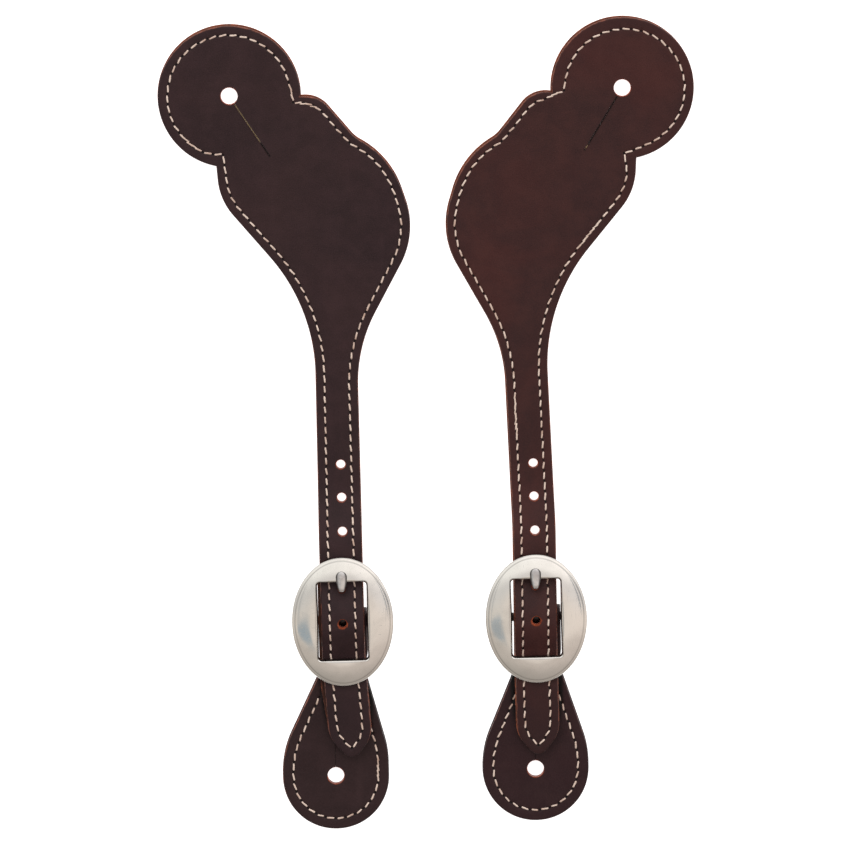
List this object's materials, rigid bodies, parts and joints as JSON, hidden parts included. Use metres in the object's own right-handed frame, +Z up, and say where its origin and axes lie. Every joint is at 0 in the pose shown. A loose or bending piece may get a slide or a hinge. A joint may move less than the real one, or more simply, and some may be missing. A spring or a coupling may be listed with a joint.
{
  "type": "pair of spur straps",
  "caption": "Pair of stitched leather spur straps with a round tab, wide body, oval centre-bar buckle and teardrop end, lying flat.",
  "frame": {"origin": "on the surface that the straps lie on, under the middle of the pair's bounding box", "axes": "+Y towards the round tabs, +X towards the right strap, +Z up, out of the grain side"},
  "size_m": [0.1965, 0.2992, 0.0137],
  "materials": {
    "grain_leather": "oiled, with burnished edges",
    "lining_leather": "plain",
    "thread": "waxed cord",
    "polished_metal": "polished, lightly worn",
    "plain_steel": "dull"
  },
  "bodies": {
    "left_tab": {"left_tab_leather": "grain_leather", "left_tab_lining": "lining_leather", "left_tab_thread": "thread"},
    "left_strap": {"left_strap_leather": "grain_leather", "left_strap_lining": "lining_leather", "left_strap_thread": "thread"},
    "left_tail": {"left_tail_leather": "grain_leather", "left_tail_lining": "lining_leather", "left_tail_thread": "thread"},
    "left_buckle": {"left_buckle_frame": "polished_metal", "left_buckle_bar": "plain_steel"},
    "left_tongue": {"left_tongue": "polished_metal"},
    "left_short_strap": {"left_short_strap": "grain_leather", "left_short_strap_thread": "thread"},
    "right_tab": {"right_tab_leather": "grain_leather", "right_tab_lining": "lining_leather", "right_tab_thread": "thread"},
    "right_strap": {"right_strap_leather": "grain_leather", "right_strap_lining": "lining_leather", "right_strap_thread": "thread"},
    "right_tail": {"right_tail_leather": "grain_leather", "right_tail_lining": "lining_leather", "right_tail_thread": "thread"},
    "right_buckle": {"right_buckle_frame": "polished_metal", "right_buckle_bar": "plain_steel"},
    "right_tongue": {"right_tongue": "polished_metal"},
    "right_short_strap": {"right_short_strap": "grain_leather", "right_short_strap_thread": "thread"}
  },
  "joints": [
    {"name": "left_strap_bend", "type": "hinge", "parent": "left_tab", "child": "left_strap", "pos_m": [-0.0357, 0.01675, 0.0034], "axis": [-1, 0, 0], "range_deg": [0, 35], "stiffness_Nm_per_rad": 0.02},
    {"name": "left_short_strap_swing", "type": "hinge", "parent": "left_strap", "child": "left_short_strap", "pos_m": [-0.0357, -0.07125, 0.00365], "axis": [1, 0, 0], "range_deg": [0, 70]},
    {"name": "left_tail_lift", "type": "hinge", "parent": "left_strap", "child": "left_tail", "pos_m": [-0.0357, -0.09825, 0.008], "axis": [-1, 0, 0], "range_deg": [0, 60], "stiffness_Nm_per_rad": 0.005},
    {"name": "left_buckle_rock", "type": "hinge", "parent": "left_strap", "child": "left_buckle", "pos_m": [-0.0357, -0.07125, 0.00365], "axis": [1, 0, 0], "range_deg": [-1.5, 1.5]},
    {"name": "left_tongue_lift", "type": "hinge", "parent": "left_buckle", "child": "left_tongue", "pos_m": [-0.0357, -0.07125, 0.00365], "axis": [1, 0, 0], "range_deg": [0, 4]},
    {"name": "pair_apart", "type": "slide", "parent": "left_tab", "child": "right_tab", "axis": [1, 0, 0], "range_m": [0, 0.06]},
    {"name": "right_strap_bend", "type": "hinge", "parent": "right_tab", "child": "right_strap", "pos_m": [0.0357, 0.0161, 0.0034], "axis": [-1, 0, 0], "range_deg": [0, 35], "stiffness_Nm_per_rad": 0.02},
    {"name": "right_short_strap_swing", "type": "hinge", "parent": "right_strap", "child": "right_short_strap", "pos_m": [0.0357, -0.0719, 0.00365], "axis": [1, 0, 0], "range_deg": [0, 70]},
    {"name": "right_tail_lift", "type": "hinge", "parent": "right_strap", "child": "right_tail", "pos_m": [0.0357, -0.0989, 0.008], "axis": [-1, 0, 0], "range_deg": [0, 60], "stiffness_Nm_per_rad": 0.005},
    {"name": "right_buckle_rock", "type": "hinge", "parent": "right_strap", "child": "right_buckle", "pos_m": [0.0357, -0.0719, 0.00365], "axis": [1, 0, 0], "range_deg": [-1.5, 1.5]},
    {"name": "right_tongue_lift", "type": "hinge", "parent": "right_buckle", "child": "right_tongue", "pos_m": [0.0357, -0.0719, 0.00365], "axis": [1, 0, 0], "range_deg": [0, 4]}
  ],
  "couplings": [
    {"joint": "left_short_strap_swing", "follows": "left_strap_bend", "ratio": 2},
    {"joint": "right_short_strap_swing", "follows": "right_strap_bend", "ratio": 2}
  ]
}
